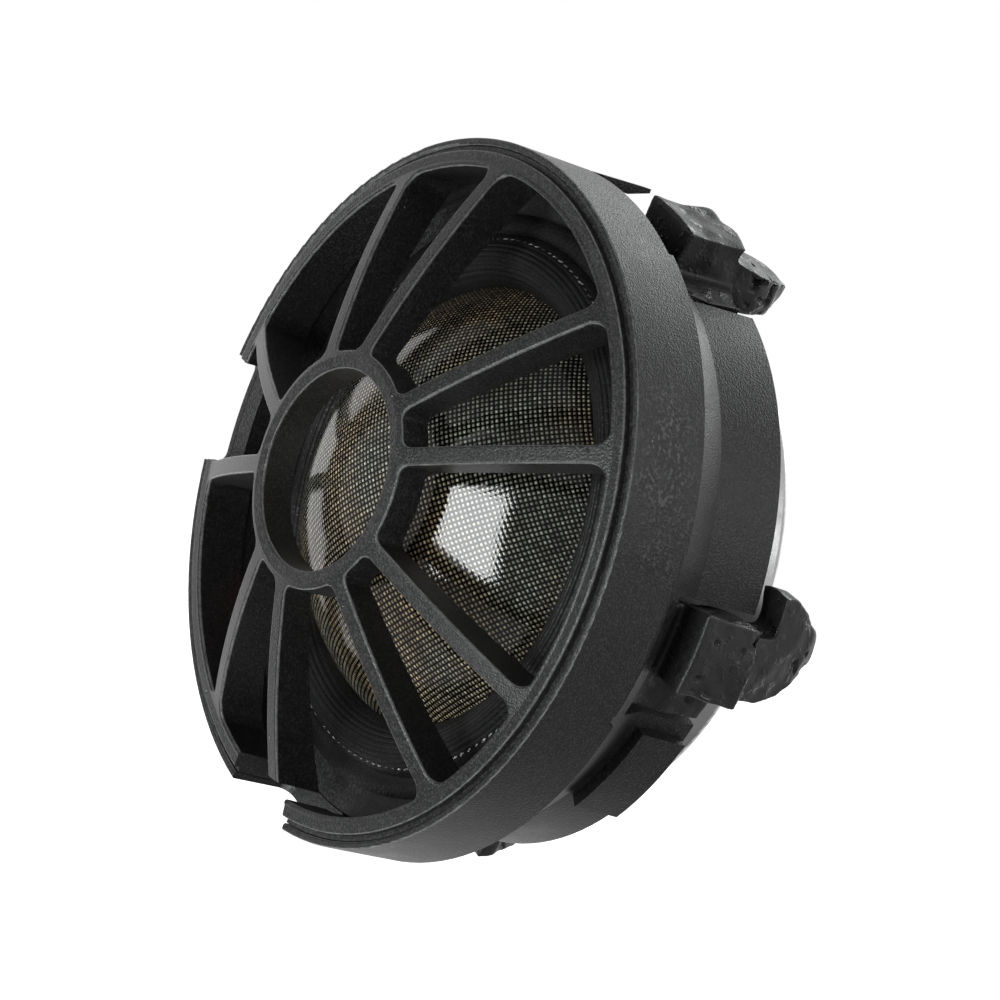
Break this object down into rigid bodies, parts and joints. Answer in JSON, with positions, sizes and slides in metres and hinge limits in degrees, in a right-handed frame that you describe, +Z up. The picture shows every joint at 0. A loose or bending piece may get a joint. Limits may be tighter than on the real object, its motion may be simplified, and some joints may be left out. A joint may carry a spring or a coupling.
{
  "type": "car tweeter",
  "caption": "Round flush-mount car tweeter: domed spoked grille with an open hub, woven soft dome, stepped housing with snap latches and a plated motor cup.",
  "frame": {"origin": "on the tweeter's axis, in the plane of the collar's back shoulder, which seats on the panel", "axes": "-Y is the way the face looks, +Y points into the panel, +Z is up and +X is the listener's right"},
  "size_m": [0.0419, 0.0269, 0.042],
  "materials": {
    "grille_plastic": "fine moulded grain, slightly satin on the rounded edges",
    "housing_plastic": "fine moulded grain, rough chipped latch hooks",
    "plated_steel": "bright zinc plate with faint turning marks",
    "nickel_plate": "bright nickel plate",
    "felt": "pressed felt",
    "coated_fabric": "fine plain weave with a glossy clear coating",
    "surround_cloth": "coated black cloth, thin ridges",
    "frame_plastic": "smooth black",
    "foam": "closed-cell foam",
    "former_foil": "thin rolled foil",
    "copper_wire": "enamelled fine wire",
    "phenolic_board": "brown laminate with cut edges",
    "tinned_brass": "tin-plated, stamped",
    "rivet_brass": "rolled eyelets",
    "wire_sleeve_red": "soft insulation",
    "wire_sleeve_black": "soft insulation",
    "capacitor_sleeve": "shrink sleeve, no print",
    "tinned_wire": "tinned copper"
  },
  "bodies": {
    "frame": {"grille": "grille_plastic", "housing": "housing_plastic", "yoke_cup": "plated_steel", "pole_plate": "plated_steel", "magnet": "nickel_plate", "damping_pad": "felt", "surround": "surround_cloth", "diaphragm_frame": "frame_plastic", "gasket": "foam", "terminal_board": "phenolic_board", "terminal_positive": "tinned_brass", "terminal_negative": "tinned_brass", "junction_tag": "tinned_brass", "terminal_rivets": "rivet_brass", "lead_wire_positive": "wire_sleeve_red", "lead_wire_negative": "wire_sleeve_black", "capacitor": "capacitor_sleeve", "capacitor_lead_in": "tinned_wire", "capacitor_lead_out": "tinned_wire"},
    "diaphragm": {"dome": "coated_fabric", "voice_coil_former": "former_foil", "voice_coil": "copper_wire"},
    "latch_upper_arm": {"latch_upper": "housing_plastic"},
    "latch_near_arm": {"latch_near": "housing_plastic"},
    "latch_lower_arm": {"latch_lower": "housing_plastic"},
    "latch_far_arm": {"latch_far": "housing_plastic"}
  },
  "joints": [
    {"name": "diaphragm_stroke", "type": "slide", "parent": "frame", "child": "diaphragm", "axis": [0, -1, 0], "range_m": [-0.0004, 0.0004]},
    {"name": "latch_upper_flex", "type": "hinge", "parent": "frame", "child": "latch_upper_arm", "pos_m": [0.00708, 0.0016, 0.01628], "axis": [-0.9171, 0, 0.3987], "range_deg": [0, 10]},
    {"name": "latch_near_flex", "type": "hinge", "parent": "frame", "child": "latch_near_arm", "pos_m": [0.01704, 0.0016, -0.00497], "axis": [0.2798, 0, 0.96], "range_deg": [0, 10]},
    {"name": "latch_lower_flex", "type": "hinge", "parent": "frame", "child": "latch_lower_arm", "pos_m": [-0.00708, 0.0016, -0.01628], "axis": [0.9171, 0, -0.3987], "range_deg": [0, 10]},
    {"name": "latch_far_flex", "type": "hinge", "parent": "frame", "child": "latch_far_arm", "pos_m": [-0.01704, 0.0016, 0.00497], "axis": [-0.2798, 0, -0.96], "range_deg": [0, 10]}
  ]
}
